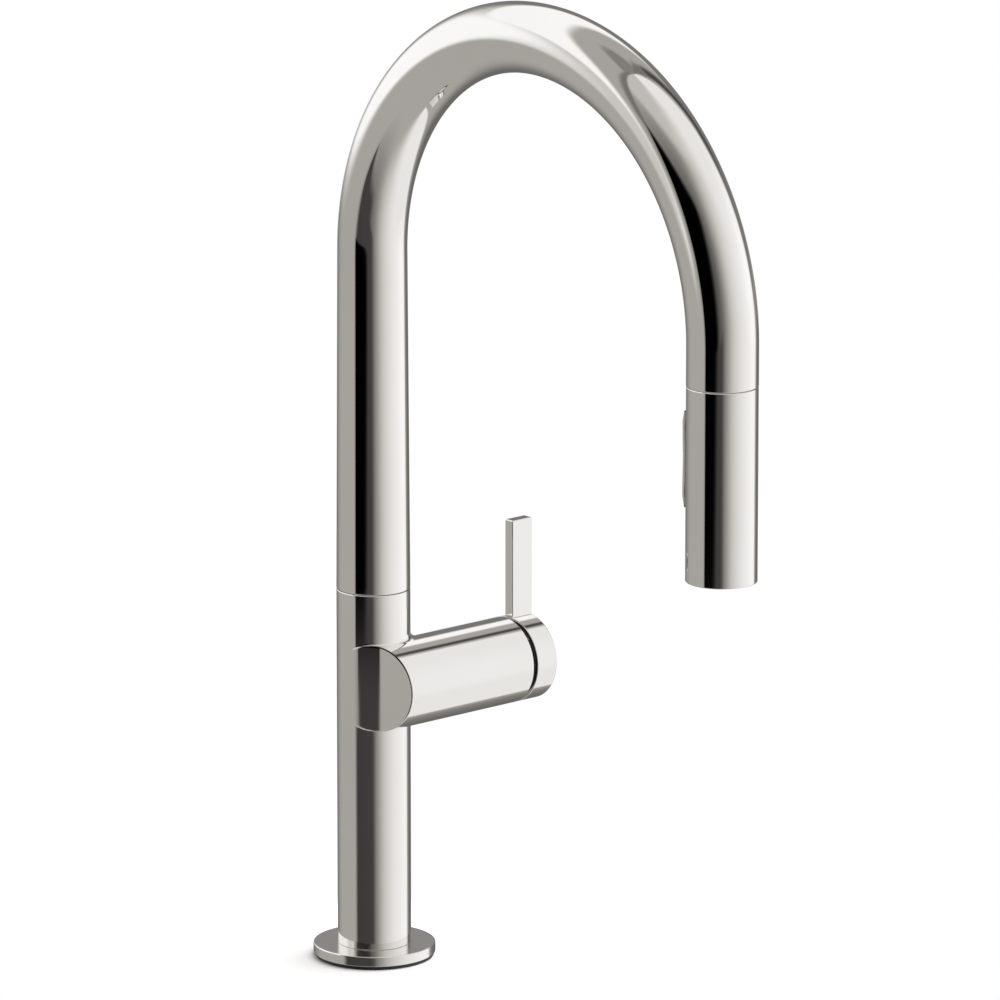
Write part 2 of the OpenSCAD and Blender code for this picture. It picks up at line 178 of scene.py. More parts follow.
def revolve(outline, normals, path, side=X, segments=192, closed=True):
    """Sweeps an outline of (radius, distance) points round a path. side is a direction square to the path."""
    a = np.arange(segments) * 2 * math.pi / segments
    all_points, all_normals = [], []
    for (r, s), (nr, ns) in zip(outline, normals):
        centre, along = path(s)
        other = np.cross(along, side)
        radial = np.cos(a)[:, None] * side + np.sin(a)[:, None] * other
        all_points.append(centre + r * radial)
        all_normals.append(nr * radial + ns * along)
    faces = grid_faces(len(outline), segments, close_rows=closed)
    return np.concatenate(all_points), faces, np.concatenate(all_normals)


def ring_section(r_in, r_out, z0, z1, edge, steps=4):
    """Outline of a ring's section, with rounded edges."""
    return rounded([(r_out, z0), (r_out, z1), (r_in, z1), (r_in, z0)], edge, steps)


def merge(*parts):
    """Joins (points, faces, normals) parts into one."""
    points, faces, normals, start = [], [], [], 0
    for p, f, n in parts:
        points.append(p)
        faces.append(np.asarray(f) + start)
        normals.append(n)
        start += len(p)
    return np.concatenate(points), np.concatenate(faces), np.concatenate(normals)


def prism(outline, normals, origin, u, v, along, length, edge, steps=4, foot=None):
    """An upright bar: an outline in the (u, v) plane, run along a direction, its far edge rounded."""
    rings, ring_normals = [], []
    base = origin + outline[:, :1] * u + outline[:, 1:] * v
    out = normals[:, :1] * u + normals[:, 1:] * v
    start = base if foot is None else foot(base)
    rings.append(start)
    ring_normals.append(out)
    for k in range(steps + 1):
        a = math.pi / 2 * k / steps
        rings.append(base - out * edge * (1 - math.cos(a)) + along * (length - edge * (1 - math.sin(a))))
        ring_normals.append(out * math.cos(a) + along * math.sin(a))
    count = len(outline)
    centre = base.mean(0) + along * length
    rings.append(centre + (rings[-1] - centre) * 0.02)
    ring_normals.append(np.repeat(along[None], count, 0))
    faces = grid_faces(len(rings), count, close_rows=False)
    return np.concatenate(rings), faces, np.concatenate(ring_normals)


def turned(outline, normals, x=0.0, y=0.0, segments=192):
    """A closed lathe shape about an upright axis."""
    return revolve(outline, normals, straight((x, y, 0), Z), segments=segments)


def grid_normals(points, rows, cols):
    """Smooth normals of a closed grid of points, from its neighbours."""
    p = points.reshape(rows, cols, 3)
    down = np.roll(p, -1, 0) - np.roll(p, 1, 0)
    across = np.roll(p, -1, 1) - np.roll(p, 1, 1)
    n = np.cross(across, down)
    return (n / np.maximum(np.linalg.norm(n, axis=-1, keepdims=True), 1e-12)).reshape(-1, 3)


def threaded_tube(r, bore, z0, z1, pitch, depth, plain=(), x=0.0, y=0.0, segments=96):
    """An upright tube with a right-handed thread from z0 to z1, then plain (radius, z) stations above it."""
    count = int((z1 - z0) / (pitch / 8))
    a = np.arange(segments) * 2 * math.pi / segments
    rows = [np.stack([bore + 0 * a, z0 + 0 * a], -1)]
    for z in np.linspace(z0, z1, count):
        phase = (z / pitch - a / (2 * math.pi)) % 1.0
        tooth = np.clip(np.abs(phase - 0.5) * 2.3 - 0.1, 0, 1)
        runout = np.clip(min(z - z0, z1 - z) / (1.5 * pitch), 0, 1)
        rows.append(np.stack([r - depth * (tooth * runout + (1 - runout)), z + 0 * a], -1))
    rows += [np.stack([radius + 0 * a, z + 0 * a], -1) for radius, z in plain]
    rows.append(np.stack([bore + 0 * a, rows[-1][:, 1]], -1))
    rows = np.array(rows)
    radii, heights = rows[..., 0], rows[..., 1]
    points = np.stack([x + radii * np.cos(a), y + radii * np.sin(a), heights], -1).reshape(-1, 3)
    return points, grid_faces(len(rows), segments), grid_normals(points, len(rows), segments)


def hexagon(corner_r, z0, z1, bore, chamfer, x=0.0, y=0.0):
    """An upright hexagonal nut or head, with its corners turned off at both ends."""
    a = np.arange(96) * 2 * math.pi / 96
    side = corner_r * math.cos(math.pi / 6) / np.cos(a % (math.pi / 3) - math.pi / 6)
    low_rows = [(corner_r - 2 * chamfer, z0), (corner_r - 0.15 * chamfer, z0 + 0.8 * chamfer)]
    high_rows = [(corner_r - 0.15 * chamfer, z1 - 0.8 * chamfer), (corner_r - 2 * chamfer, z1)]
    rows = [np.minimum(side, limit) for limit, _ in low_rows + high_rows] + [bore + 0 * a, bore + 0 * a]
    heights = [z for _, z in low_rows + high_rows] + [z1, z0]
    points = np.concatenate([np.stack([x + r * np.cos(a), y + r * np.sin(a), z + 0 * a], -1)
                             for r, z in zip(rows, heights)])
    return points, grid_faces(6, 96), grid_normals(points, 6, 96)


# ---- Materials ----


class Nodes:
    """A material's nodes, with short calls to add and link them."""

    def __init__(self, name):
        self.material = bpy.data.materials.new(name)
        self.material.use_nodes = True
        self.tree = self.material.node_tree
        self.tree.nodes.clear()
        self.out = self.tree.nodes.new("ShaderNodeOutputMaterial")
        self.shader = self.tree.nodes.new("ShaderNodeBsdfPrincipled")
        self.link(self.shader.outputs["BSDF"], self.out.inputs["Surface"])
        self.place = self.tree.nodes.new("ShaderNodeTexCoord").outputs["Object"]

    def link(self, a, b):
        self.tree.links.new(a, b)

    def put(self, socket, value):
        if isinstance(value, bpy.types.NodeSocket):
            self.link(value, socket)
        else:
            socket.default_value = value

    def math(self, operation, a, b=0.0, c=0.0):
        node = self.tree.nodes.new("ShaderNodeMath")
        node.operation = operation
        for socket, value in zip(node.inputs, (a, b, c)):
            self.put(socket, value)
        return node.outputs[0]

    def length(self, a, b):
        return self.math("SQRT", self.math("ADD", self.math("MULTIPLY", a, a), self.math("MULTIPLY", b, b)))

    def noise(self, scale, detail=3.0, stretch=(1, 1, 1)):
        mapping = self.tree.nodes.new("ShaderNodeMapping")
        mapping.inputs["Scale"].default_value = stretch
        self.link(self.place, mapping.inputs["Vector"])
        node = self.tree.nodes.new("ShaderNodeTexNoise")
        self.link(mapping.outputs[0], node.inputs["Vector"])
        node.inputs["Scale"].default_value = scale
        node.inputs["Detail"].default_value = detail
        return node.outputs["Fac"]

    def ramp(self, value, low, high, out_low, out_high):
        node = self.tree.nodes.new("ShaderNodeMapRange")
        node.interpolation_type = "SMOOTHSTEP"
        for i, v in enumerate((value, low, high, out_low, out_high)):
            self.put(node.inputs[i], v)
        return node.outputs[0]

    def mix(self, share, a, b):
        node = self.tree.nodes.new("ShaderNodeMix")
        node.data_type = "RGBA"
        self.put(node.inputs[0], share)
        self.put(node.inputs[6], a)
        self.put(node.inputs[7], b)
        return node.outputs[2]

    def bump(self, height, strength, distance):
        node = self.tree.nodes.new("ShaderNodeBump")
        node.inputs["Strength"].default_value = strength
        node.inputs["Distance"].default_value = distance
        self.link(height, node.inputs["Height"])
        self.link(node.outputs[0], self.shader.inputs["Normal"])

    def set(self, **values):
        for name, value in values.items():
            self.put(self.shader.inputs[name.replace("_", " ")], value)


def rgb(r, g, b):
    return (r, g, b, 1.0)


def polished_nickel():
    m = Nodes("polished_nickel")
    haze = m.ramp(m.noise(14, 4), 0.35, 0.7, 0.0, 1.0)
    lint = m.ramp(m.noise(900, 2, (1, 1, 0.15)), 0.45, 0.75, 0.0, 1.0)
    m.set(Metallic=1.0, Base_Color=m.mix(haze, rgb(0.885, 0.87, 0.85), rgb(0.905, 0.892, 0.875)))
    polish = m.math("MULTIPLY_ADD", haze, 0.012, 0.028)
    m.set(Roughness=m.math("ADD", polish, m.math("MULTIPLY", lint, 0.012)))
    m.bump(m.noise(2400, 2), 0.05, 0.00001)
    return m.material


def satin_topped_nickel():
    m = Nodes("satin_topped_nickel")
    normal = m.tree.nodes.new("ShaderNodeNewGeometry").outputs["Normal"]
    parts = m.tree.nodes.new("ShaderNodeSeparateXYZ")
    m.link(normal, parts.inputs[0])
    top = m.ramp(parts.outputs[2], 0.9, 0.99, 0.0, 1.0)
    haze = m.noise(18, 4)
    m.set(Metallic=1.0, Base_Color=m.mix(haze, rgb(0.86, 0.845, 0.825), rgb(0.9, 0.887, 0.87)))
    m.set(Roughness=m.math("MULTIPLY_ADD", top, 0.2, m.math("MULTIPLY_ADD", haze, 0.02, 0.03)))
    m.bump(m.noise(2400, 2), 0.05, 0.00001)
    return m.material


def cast_metal(name, dark, light, rough, tool_marks=1500.0):
    m = Nodes(name)
    patina = m.ramp(m.noise(60, 5), 0.3, 0.7, 0.0, 1.0)
    m.set(Metallic=1.0, Base_Color=m.mix(patina, rgb(*dark), rgb(*light)))
    m.set(Roughness=m.math("MULTIPLY_ADD", patina, 0.1, rough))
    m.bump(m.noise(tool_marks, 3, (1, 1, 4)), 0.25, 0.00004)
    return m.material


def moulded(name, dark, light, rough, grain=1800.0, grain_depth=0.00003, sheen=0.0):
    m = Nodes(name)
    cloud = m.noise(45, 4)
    m.set(Base_Color=m.mix(cloud, rgb(*dark), rgb(*light)))
    m.set(Roughness=m.math("MULTIPLY_ADD", cloud, 0.12, rough))
    m.set(Sheen_Weight=sheen)
    m.bump(m.noise(grain, 3), 0.4, grain_depth)
    return m.material


def shade_lined_nickel():
    """Polished nickel with a fine dark line of painted shade along the edge of the barrel's flat end, standing
    for the shadow in a narrow groove there.
    """
    m = Nodes("shade_lined_nickel")
    haze = m.ramp(m.noise(14, 4), 0.35, 0.7, 0.0, 1.0)
    parts = m.tree.nodes.new("ShaderNodeSeparateXYZ")
    m.link(m.place, parts.inputs[0])
    x, y, z = (m.math("MULTIPLY", parts.outputs[i], 1 / MM) for i in range(3))
    up = m.math("SUBTRACT", z, barrel_z / MM)
    side = m.math("SUBTRACT", m.length(m.math("SUBTRACT", y, barrel_y / MM), up), barrel_r / MM)
    out, along = (m.math("ADD", m.math("MULTIPLY", x, float(way[0])), m.math("MULTIPLY", y, float(way[1])))
                  for way in (face_out, face_along))
    fall = m.math("SINE", m.ramp(along, dish_start / MM, dish_middle / MM, 0.0, math.pi / 2))
    rise = m.ramp(along, dish_middle / MM, (dish_middle + dish_reach) / MM, 0.0, 1.0)
    depth = m.math("SUBTRACT", m.math("MULTIPLY", fall, fall), m.math("MULTIPLY", rise, rise))
    face = m.math("SUBTRACT", m.math("MULTIPLY_ADD", depth, dish_depth / MM, out), column_r / MM)
    # Painted shade: a near-black line along the flat end's edge, in place of the shadow in a groove there.
    line = m.ramp(m.length(side, face), 0.36, 0.5, 1.0, 0.0)
    line = m.math("MULTIPLY", line, m.ramp(along, 2.0, 5.0, 0.0, 1.0))
    line = m.math("MULTIPLY", line, m.ramp(up, -13.0, -6.0, 0.0, 1.0))
    clean = m.mix(haze, rgb(0.885, 0.87, 0.85), rgb(0.905, 0.892, 0.875))
    m.set(Metallic=1.0, Base_Color=m.mix(line, clean, rgb(0.02, 0.02, 0.02)))
    m.set(Roughness=m.math("MULTIPLY_ADD", haze, 0.012, m.math("MULTIPLY_ADD", line, 0.3, 0.032)))
    m.bump(m.noise(2400, 2), 0.05, 0.00001)
    return m.material


def hose_braid(name, centre_y):
    """Strands that cross as they wind round an upright hose."""
    m = Nodes(name)
    parts = m.tree.nodes.new("ShaderNodeSeparateXYZ")
    m.link(m.place, parts.inputs[0])
    angle = m.math("ARCTAN2", m.math("SUBTRACT", parts.outputs[1], centre_y), parts.outputs[0])
    turns = m.math("MULTIPLY", angle, 12.0)
    rise = m.math("MULTIPLY", parts.outputs[2], 2600.0)
    left = m.math("SINE", m.math("ADD", turns, rise))
    right = m.math("SINE", m.math("SUBTRACT", turns, rise))
    weave = m.math("MULTIPLY_ADD", m.math("MULTIPLY", left, right), 0.5, 0.5)
    cloud = m.noise(60, 3)
    strand = m.math("MULTIPLY", weave, m.math("MULTIPLY_ADD", cloud, 0.3, 0.8))
    m.set(Base_Color=m.mix(strand, rgb(0.055, 0.057, 0.06), rgb(0.33, 0.335, 0.345)))
    m.set(Roughness=m.math("MULTIPLY_ADD", strand, -0.15, 0.6))
    m.bump(strand, 0.6, 0.0002)
    return m.material


nickel = polished_nickel()
satin_nickel = satin_topped_nickel()
finishes = {
    "nickel": nickel,
    "brass": cast_metal("turned_brass", (0.62, 0.44, 0.2), (0.78, 0.6, 0.32), 0.2),
    "steel": cast_metal("plated_steel", (0.5, 0.5, 0.51), (0.66, 0.66, 0.67), 0.24),
    "rubber": moulded("black_rubber", (0.012, 0.014, 0.016), (0.022, 0.027, 0.03), 0.5, sheen=0.05),
    "black_plastic": moulded("black_plastic", (0.008, 0.008, 0.009), (0.016, 0.016, 0.017), 0.38),
    "white_plastic": moulded("natural_acetal", (0.72, 0.71, 0.66), (0.8, 0.79, 0.75), 0.34),
    "blue_plastic": moulded("blue_plastic", (0.08, 0.2, 0.42), (0.12, 0.27, 0.52), 0.25),
    "ceramic": moulded("lapped_ceramic", (0.84, 0.83, 0.8), (0.9, 0.89, 0.87), 0.1, 3000, 0.000005),
    "silicone": moulded("grey_silicone", (0.2, 0.205, 0.215), (0.27, 0.275, 0.285), 0.5),
    "magnet": cast_metal("ferrite", (0.1, 0.1, 0.105), (0.17, 0.17, 0.175), 0.5, 2500.0),
    "braid": hose_braid("hose_braid", 0.0),
}
for row in frame["record"]["subparts"]:
    node = frame["nodes"][row["node"]]
    for material_slot in node.material_slots:
        material_slot.link = "OBJECT"
        material_slot.material = finishes[row["material_slot"]]

# ---- Spout: a tapered leg, two arcs and a short straight down to the spray head ----


def gooseneck(s):
    """The place and direction at distance s along the spout's centreline, from the seam up."""
    leg = leg_top - spout_low[2]
    back, front = back_arc_r * math.pi / 2, front_arc_r * math.pi / 2
    if s <= leg:
        return np.array([0, 0, spout_low[2] + s]), Z
    if s <= leg + back:
        a = (s - leg) / back_arc_r
        return (np.array([0, -back_arc_r * (1 - math.cos(a)), leg_top + back_arc_r * math.sin(a)]),
                np.array([0, -math.sin(a), math.cos(a)]))
    if s <= leg + back + front:
        a = (s - leg - back) / front_arc_r
        place = np.array([0, -back_arc_r - front_arc_r * math.sin(a), front_arc_z + front_arc_r * math.cos(a)])
        return place, np.array([0, -math.cos(a), -math.sin(a)])
    return np.array([0, -reach, front_arc_z - (s - leg - back - front)]), -Z


def spout_outline():
    """(radius, distance) outline of the tube's wall, from the seam to the dock and back inside."""
    leg = leg_top - spout_low[2]
    arcs = (back_arc_r + front_arc_r) * math.pi / 2
    end = leg + arcs + front_arc_z - dock_z
    lip = 0.35 * MM
    stations = np.concatenate([np.linspace(4 * MM, leg, 10), np.linspace(leg, leg + arcs, 220)[1:]])
    outer = [(column_r + (neck_r - column_r) * min(s / leg, 1), s) for s in stations]
    slope = (column_r - neck_r) / leg
    lip_points, lip_normals = rounded([(column_r - tube_wall, 0), (column_r, 0), (column_r, 4 * MM)],
                                      lip, 4, False)
    end_points, end_normals = rounded([(neck_r, end - 4 * MM), (neck_r, end), (neck_r - tube_wall, end)],
                                      lip, 4, False)
    bore = [(r - tube_wall, s) for r, s in outer[::-4]]
    points = np.concatenate([lip_points[:-1], outer, end_points, bore])
    normals = np.concatenate([lip_normals[:-1], [(1, slope if s < leg else 0) for _, s in outer], end_normals,
                              [(-1, 0)] * len(bore)])
    return points, normals


points, normals = spout_outline()
add_piece("spout_tube_skin", *revolve(points, normals, gooseneck), nickel, "spout", "nickel", ["spout_tube"])

# ---- Base ----

deck = straight((0, 0, 0), Z)
outline = ring_section(14.2 * MM, gasket_high[0], gasket_low[2], gasket_high[2], 0.3 * MM)
add_piece("deck_gasket_ring", *revolve(*outline, deck), finishes["rubber"], "base", "rubber", ["deck_gasket"])
outline = rounded([(flange_high[0], flange_low[2]), (flange_high[0], flange_high[2]),
                   (column_r - 1 * MM, flange_high[2]), (column_r - 1 * MM, flange_low[2])],
                  [0.3 * MM, 0.55 * MM, 0.2 * MM, 0.2 * MM], 6)
add_piece("base_flange_ring", *revolve(*outline, deck), satin_nickel, "base", "nickel", ["base_flange"])

# ---- Shank and clamping parts, under the deck ----

shank_low, shank_high = box("threaded_shank")
shank_r = shank_high[0]
shank = threaded_tube(shank_r, 12.3 * MM, shank_low[2], 0.0, 1.5 * MM, 0.8 * MM,
                      [(shank_r - 0.6 * MM, 0.0), (shank_r - 0.6 * MM, shank_high[2])])
add_piece("threaded_shank_skin", *shank, finishes["brass"], "base", "brass", ["threaded_shank"])
for node, name, slot, edge in (("mounting_washer", "clamp_washer", "rubber", 0.7 * MM),
                               ("mounting_plate", "clamp_plate", "steel", 0.5 * MM)):
    low, high = box(node)
    section = ring_section(shank_r + 0.3 * MM, high[0], low[2], high[2], edge)
    add_piece(name, *turned(*section), finishes[slot], "clamp", slot, [node])
low, high = box("mounting_nut")
nut_middle = (low[2] + high[2]) / 2
nut_bore = shank_r + 0.05 * MM
nut_flange = turned(*ring_section(nut_bore, high[0], nut_middle, high[2], 0.8 * MM))
nut = merge(nut_flange, hexagon(17.8 * MM, low[2], nut_middle + 0.5 * MM, nut_bore, 1.2 * MM))
add_piece("clamp_nut", *nut, finishes["brass"], "clamp", "brass", ["mounting_nut"])
low, high = box("thrust_screws")
screws = []
screw_ring = 18.6 * MM
for angle in np.radians([30, 150, 270]):
    x, y = screw_ring * math.cos(angle), screw_ring * math.sin(angle)
    screws.append(threaded_tube(2.5 * MM, 0.3 * MM, low[2] + 3.4 * MM, high[2], 0.8 * MM, 0.3 * MM,
                                (), x, y, 32))
    screws.append(hexagon(4.2 * MM, low[2], low[2] + 3.5 * MM, 0.2 * MM, 0.5 * MM, x, y))
add_piece("clamp_screws", *merge(*screws), finishes["steel"], "clamp", "steel", ["thrust_screws"])

# ---- Column and valve barrel: one casting, its junction meshed from a distance field ----

blend_above, blend_below = 2.6 * MM, 0.5 * MM
d_edge = 0.45 * MM
cell = 0.4 * MM
half_height = 24 * MM
barrel_start = 30 * MM


def round_max(a, b, r):
    """Where two shapes overlap, with their shared edge rounded."""
    corner = np.hypot(np.maximum(a + r, 0), np.maximum(b + r, 0)) - r
    return np.where((a > -r) & (b > -r), corner, np.maximum(a, b))


def casting(p):
    """Signed distance to the outside of the column and barrel."""
    x, y, z = p[..., 0], p[..., 1], p[..., 2] - barrel_z
    column = np.hypot(x, y) - column_r
    round_side = np.hypot(y - barrel_y, z) - barrel_r
    out, along = p @ face_out, p @ face_along
    fall = np.sin(math.pi / 2 * np.clip((along - dish_start) / (dish_middle - dish_start), 0, 1))
    rise = np.clip((along - dish_middle) / dish_reach, 0, 1)
    end_face = out + dish_depth * (fall ** 2 - rise ** 2) - column_r
    near_end = np.minimum(np.maximum(end_face, -along), out)
    barrel = round_max(round_side, near_end, d_edge)
    lift = np.clip((z - 4 * MM) / (8 * MM), 0, 1) * np.clip((x + 2 * MM) / (10 * MM), 0, 1)
    r = blend_below + (blend_above - blend_below) * lift * lift * (3 - 2 * lift)
    hollow = r - np.hypot(np.maximum(r - column, 0), np.maximum(r - barrel, 0))
    return np.where((column < r) & (barrel < r), hollow, np.minimum(column, barrel))


def gradient(field, p, h=0.02 * MM):
    g = np.stack([field(p + h * a) - field(p - h * a) for a in (X, Y, Z)], -1)
    return g / np.linalg.norm(g, axis=-1, keepdims=True)


def surface_net(field, low, high, step):
    """Quads where the field changes sign on a grid, with each corner moved onto the surface."""
    counts = np.ceil((high - low) / step).astype(int) + 1
    axes = [low[i] + step * np.arange(counts[i]) for i in range(3)]
    grid = np.stack(np.meshgrid(*axes, indexing="ij"), -1)
    inside = field(grid) < 0
    corners = sum(inside[i:counts[0] - 1 + i, j:counts[1] - 1 + j, k:counts[2] - 1 + k].astype(int)
                  for i in (0, 1) for j in (0, 1) for k in (0, 1))
    crossing = (corners > 0) & (corners < 8)
    number = np.full(crossing.shape, -1)
    number[crossing] = np.arange(crossing.sum())
    points = grid[:-1, :-1, :-1][crossing] + step / 2
    for _ in range(4):
        points = points - field(points)[:, None] * gradient(field, points)
    faces = []
    for axis in range(3):
        u, v = (axis + 1) % 3, (axis + 2) % 3
        ahead = np.moveaxis(inside, (axis, u, v), (0, 1, 2))
        cells = np.moveaxis(number, (axis, u, v), (0, 1, 2))
        change = ahead[:-1, 1:-1, 1:-1] != ahead[1:, 1:-1, 1:-1]
        out = ahead[:-1, 1:-1, 1:-1]
        quad = np.stack([cells[:, :-1, :-1], cells[:, 1:, :-1], cells[:, 1:, 1:], cells[:, :-1, 1:]], -1)
        forward, backward = quad[change & out], quad[change & ~out][:, ::-1]
        faces += [forward, backward]
    return points, np.concatenate(faces)


def boundary_edges(faces):
    """Directed edges that only one face has."""
    edges = np.concatenate([faces[:, [i, (i + 1) % 4]] for i in range(4)])
    both = {tuple(e) for e in edges.tolist()}
    return np.array([e for e in both if (e[1], e[0]) not in both])


def casting_mesh():
    """The junction from the distance field, run on as plain tubes to the barrel's end and the column's ends."""
    low = np.array([-column_r - 1.2 * MM, barrel_y - barrel_r - 1.2 * MM, barrel_z - half_height])
    high = np.array([barrel_start, column_r + 1.2 * MM, barrel_z + half_height])
    points, faces = surface_net(casting, low, high, cell)
    normals = gradient(casting, points)
    rim = boundary_edges(faces)
    ends = []
    far = points[rim[:, 0]]
    lip = 0.4 * MM
    barrel_bore, column_bore = 16.4 * MM, 13.5 * MM
    for on_end, axis, centre, r, stops in (
            (far[:, 0] > barrel_start - 2 * cell, 0, (0, barrel_y, barrel_z), barrel_r,
             [(barrel_r, barrel_end), (barrel_bore, barrel_end), (barrel_bore, barrel_end - 5 * MM)]),
            (far[:, 2] > barrel_z + half_height - 2 * cell, 2, (0, 0, 0), column_r,
             [(column_r, column_top), (column_bore, column_top), (column_bore, column_top - 10 * MM)]),
            (far[:, 2] < barrel_z - half_height + 2 * cell, 2, (0, 0, 0), column_r,
             [(column_r, flange_high[2]), (column_bore, flange_high[2]),
              (column_bore, flange_high[2] + 10 * MM)])):
        ends.append((rim[on_end], axis, np.array(centre, float), r, stops))
    for edges, axis, centre, r, stops in ends:
        ids = np.unique(edges)
        along = np.eye(3)[axis]
        flat = 1 - along
        radial = (points[ids] - centre) * flat
        radial /= np.linalg.norm(radial, axis=1)[:, None]
        start = points[ids] @ along
        outline, facing = rounded([(r, start.mean())] + stops, lip, 4, False)
        if stops[0][1] < start.mean():
            facing = -facing
        lookup = {v: i for i, v in enumerate(ids.tolist())}
        previous = ids
        for (radius, s), (nr, ns) in zip(outline[1:], facing[1:]):
            new_ids = len(points) + np.arange(len(ids))
            points = np.concatenate([points, centre * flat + radius * radial + s * along])
            normals = np.concatenate([normals, nr * radial + ns * along])
            a = np.array([lookup[v] for v in edges[:, 0].tolist()])
            b = np.array([lookup[v] for v in edges[:, 1].tolist()])
            faces = np.concatenate([faces, np.stack([previous[b], previous[a], new_ids[a], new_ids[b]], -1)])
            previous = new_ids
    return points, faces, normals


add_piece("body_column_skin", *casting_mesh(), shade_lined_nickel(), "base", "nickel", ["body_column"])

# ---- Spray head ----


def head_mesh():
    """The shell with its selector window. Columns of points line up with the window's two upright sides."""
    wall = 1.55 * MM
    lip = 0.35 * MM
    half_w = (toggle_high[0] - toggle_low[0]) / 2 + 0.3 * MM
    window = np.array([toggle_low[2], toggle_high[2]]) + [-0.8 * MM, 0.8 * MM]
    in_window, round_back = 24, 120

    def columns(r):
        """Angles round the shell from +Y: first across the window, then round the rest."""
        a = math.asin(half_w / r)
        return np.concatenate([np.linspace(-a, a, in_window + 1)[:-1],
                               np.linspace(a, 2 * math.pi - a, round_back + 1)[:-1]])

    section, turned_out = rounded([(head_r, head_low[2]), (head_r, head_high[2]),
                                   (head_r - wall, head_high[2]), (head_r - wall, head_low[2])], lip, 5)
    outer, inner = (head_r, window), (head_r - wall, window[::-1])
    corner = len(section) // 4
    section = np.concatenate([section[:corner], [(outer[0], z) for z in window], section[corner:3 * corner],
                              [(inner[0], z) for z in inner[1]], section[3 * corner:]])
    turned_out = np.concatenate([turned_out[:corner], [(1, 0)] * 2, turned_out[corner:3 * corner],
                                 [(-1, 0)] * 2, turned_out[3 * corner:]])
    rows_points, rows_normals = [], []
    for (r, z), (nr, nz) in zip(section, turned_out):
        share = np.clip((head_r - r) / wall, 0, 1)
        a = (1 - share) * columns(head_r) + share * columns(head_r - wall)
        radial = np.stack([np.sin(a), np.cos(a), 0 * a], -1)
        rows_points.append(r * radial + np.array([0, -reach, z]))
        rows_normals.append(nr * radial + nz * Z)
    count = in_window + round_back
    faces = grid_faces(len(section), count)
    row, col = faces[:, 0] // count, faces[:, 0] % count
    cut_rows = (row == corner) | (row == 3 * corner + 2)
    faces = faces[~(cut_rows & (col < in_window))]
    shell = (np.concatenate(rows_points), faces, np.concatenate(rows_normals))
    out_low, out_high = rows_points[corner], rows_points[corner + 1]
    in_high, in_low = rows_points[3 * corner + 2], rows_points[3 * corner + 3]
    sides = [shell]
    for ends, normal in (((out_low, in_low), Z), ((in_high, out_high), -Z)):
        strip = np.concatenate([e[:in_window + 1] for e in ends])
        sides.append((strip, grid_faces(2, in_window + 1, False, False), np.tile(normal, (len(strip), 1))))
    for i, normal in ((0, X), (in_window, -X)):
        strip = np.array([out_low[i], out_high[i], in_low[i], in_high[i]])
        sides.append((strip, np.array([[0, 1, 3, 2]]), np.tile(normal, (4, 1))))
    return merge(*sides)


add_piece("head_shell_skin", *head_mesh(), nickel, "spray_head", "nickel", ["head_shell"])


def selector_mesh():
    """The selector: a rounded plate that slopes at both ends, with its pivot and its foot behind it."""
    half_w = (toggle_high[0] - toggle_low[0]) / 2
    pivot_y, pivot_z = -reach + 9.9 * MM, (toggle_low[2] + toggle_high[2]) / 2
    back = -reach + head_r - 0.6 * MM
    face = toggle_high[1]
    slope = 5 * MM
    plate = rounded([(back, toggle_low[2]), (face - 1.2 * MM, toggle_low[2]), (face, toggle_low[2] + slope),
                     (face - 0.35 * MM, pivot_z), (face, toggle_high[2] - slope),
                     (face - 1.2 * MM, toggle_high[2]), (back, toggle_high[2])],
                    [0.2 * MM, 0.6 * MM, 5 * MM, 60 * MM, 5 * MM, 0.6 * MM, 0.2 * MM], 8)
    web = rounded([(pivot_y - 1.9 * MM, pivot_z - 1.9 * MM), (back + 0.3 * MM, pivot_z - 1.9 * MM),
                   (back + 0.3 * MM, pivot_z + 1.9 * MM), (pivot_y - 1.9 * MM, pivot_z + 1.9 * MM)],
                  [1.8 * MM, 0.2 * MM, 0.2 * MM, 1.8 * MM], 8)
    foot_z = pivot_z - 10 * MM
    foot = rounded([(pivot_y, foot_z - 2.2 * MM), (back + 0.3 * MM, foot_z - 2.2 * MM),
                    (back + 0.3 * MM, foot_z + 2.2 * MM), (pivot_y, foot_z + 2.2 * MM)], 0.4 * MM, 4)
    parts = []
    solids = ((plate, half_w, 0.9 * MM), (web, 5.2 * MM, 0.3 * MM), (foot, 2.5 * MM, 0.3 * MM))
    for outline, width, edge in solids:
        for side in (X, -X):
            points, faces, normals = prism(*outline, np.zeros(3), Y, Z, side, width, edge, 6)
            parts.append((points, faces if side is X else faces[:, ::-1], normals))
    return merge(*parts)


add_piece("selector_skin", *selector_mesh(), nickel, "toggle", "nickel", ["toggle_rocker"])


def nozzle_mesh():
    low, high = box("spray_nozzles")
    tip, root = 0.72 * MM, 0.95 * MM
    outline = rounded([(tip, low[2]), (root, low[2] + 1.6 * MM), (root, high[2]), (0.4 * MM, high[2]),
                       (0.4 * MM, low[2])], [0.15 * MM, 0.3 * MM, 0.05 * MM, 0.05 * MM, 0.15 * MM], 3)
    ring = (high[0] - low[0]) / 2 - root
    spots = np.arange(16) * math.pi / 8
    return merge(*(turned(*outline, ring * math.cos(a), -reach + ring * math.sin(a), 20) for a in spots))


add_piece("nozzle_tips", *nozzle_mesh(), finishes["silicone"], "spray_head", "silicone", ["spray_nozzles"])
ring_low, ring_high = box("face_ring")
outline = ring_section(11.6 * MM, (ring_high[0] - ring_low[0]) / 2, ring_low[2], ring_high[2], 0.5 * MM)
add_piece("face_ring_skin", *turned(*outline, 0, -reach), finishes["black_plastic"], "spray_head",
          "black_plastic", ["face_ring"])


